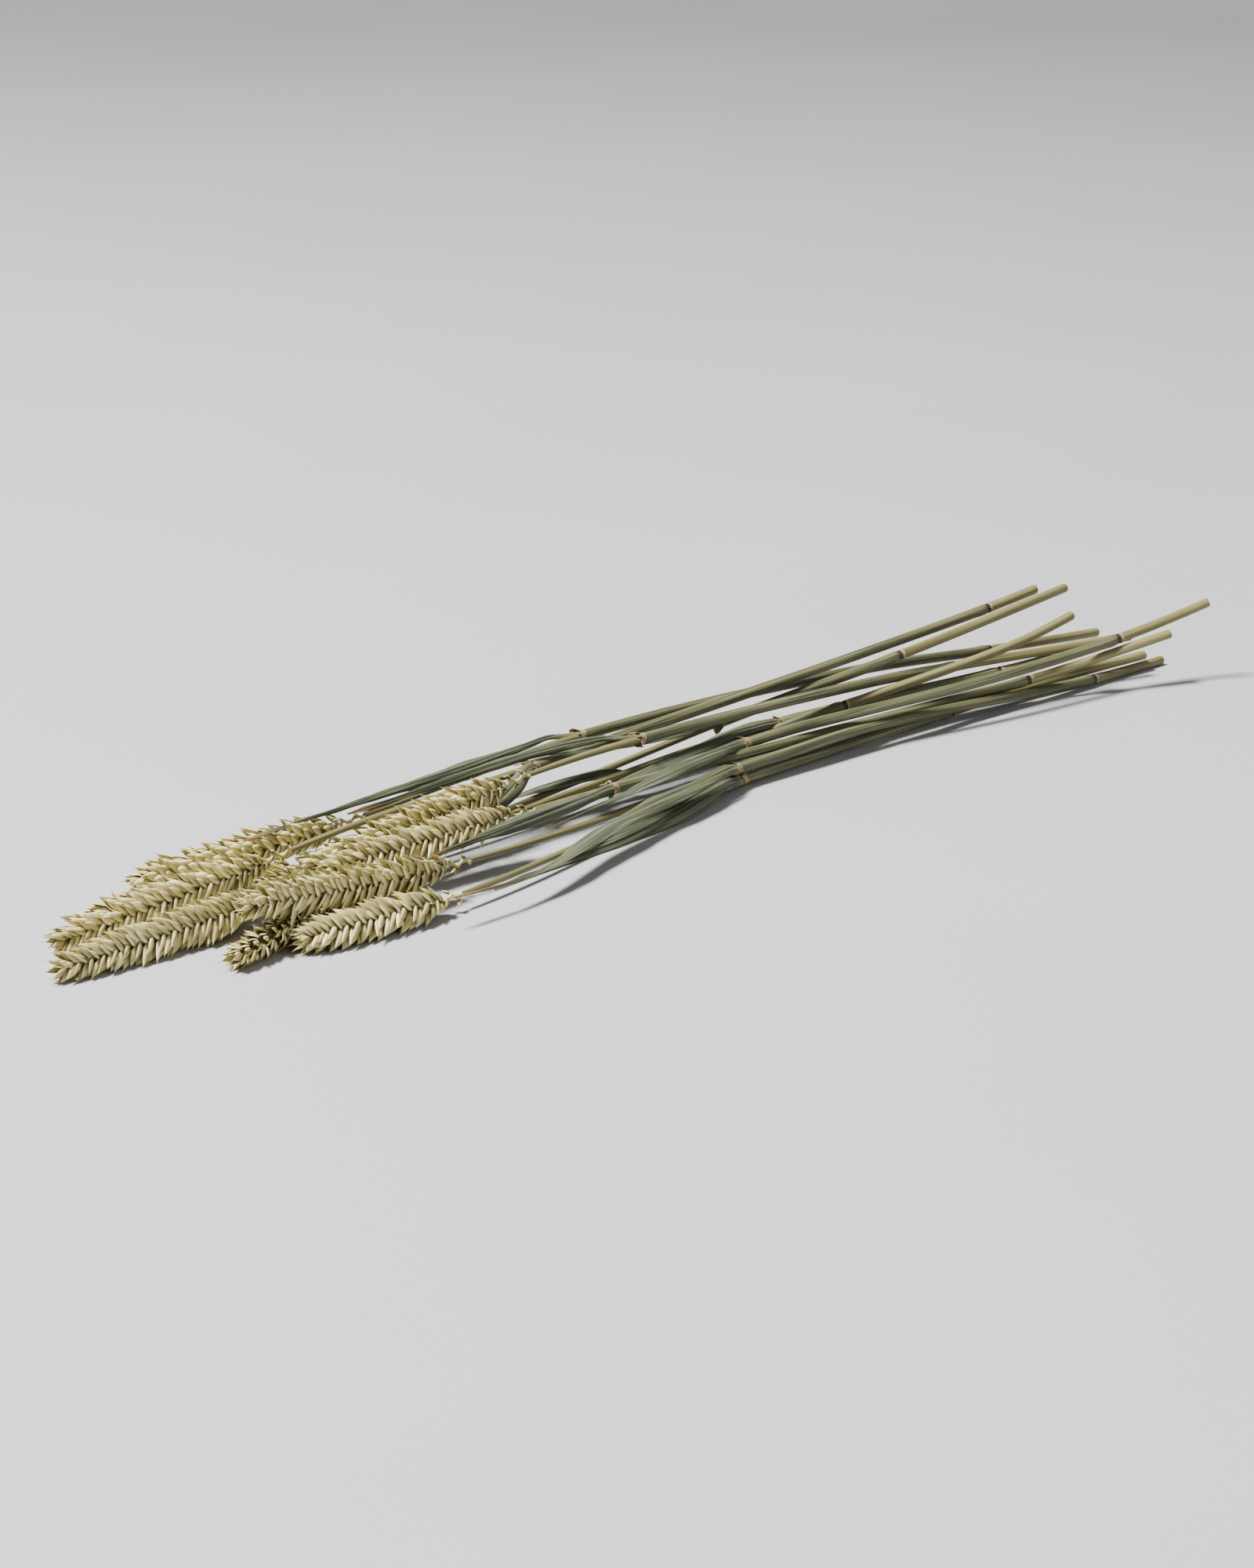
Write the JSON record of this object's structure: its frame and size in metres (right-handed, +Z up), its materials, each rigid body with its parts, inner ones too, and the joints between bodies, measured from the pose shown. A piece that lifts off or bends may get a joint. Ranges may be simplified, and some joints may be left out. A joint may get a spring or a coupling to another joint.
{
  "type": "bundle of dried wheat",
  "caption": "Loose bundle of dried wheat stalks lying flat: full ears at one end, knotted straws with dry leaf blades, cut ends at the other.",
  "frame": {"origin": "on the table, under the middle of the bundle's box", "axes": "+X along the bundle from the ears to the cut ends, +Z up from the table, +Y across the bundle"},
  "size_m": [0.5882, 0.102, 0.0425],
  "materials": {
    "ear": "dry papery husks, matt",
    "straw": "dry straw, slight sheen along its ridges",
    "blade": "dry leaf, matt, ribbed lengthwise"
  },
  "bodies": {
    "root": {"ear_01": "ear", "straw_01": "straw", "blade_01": "blade", "ear_02": "ear", "straw_02": "straw", "blade_02": "blade", "ear_03": "ear", "straw_03": "straw", "blade_03": "blade", "ear_04": "ear", "straw_04": "straw", "blade_04": "blade", "ear_05": "ear", "straw_05": "straw", "blade_05": "blade", "ear_06": "ear", "straw_06": "straw", "blade_06": "blade", "ear_07": "ear", "straw_07": "straw", "blade_07": "blade", "ear_08": "ear", "straw_08": "straw", "blade_08": "blade", "ear_09": "ear", "straw_09": "straw", "blade_09": "blade", "ear_10": "ear", "straw_10": "straw", "blade_10": "blade"}
  },
  "joints": []
}
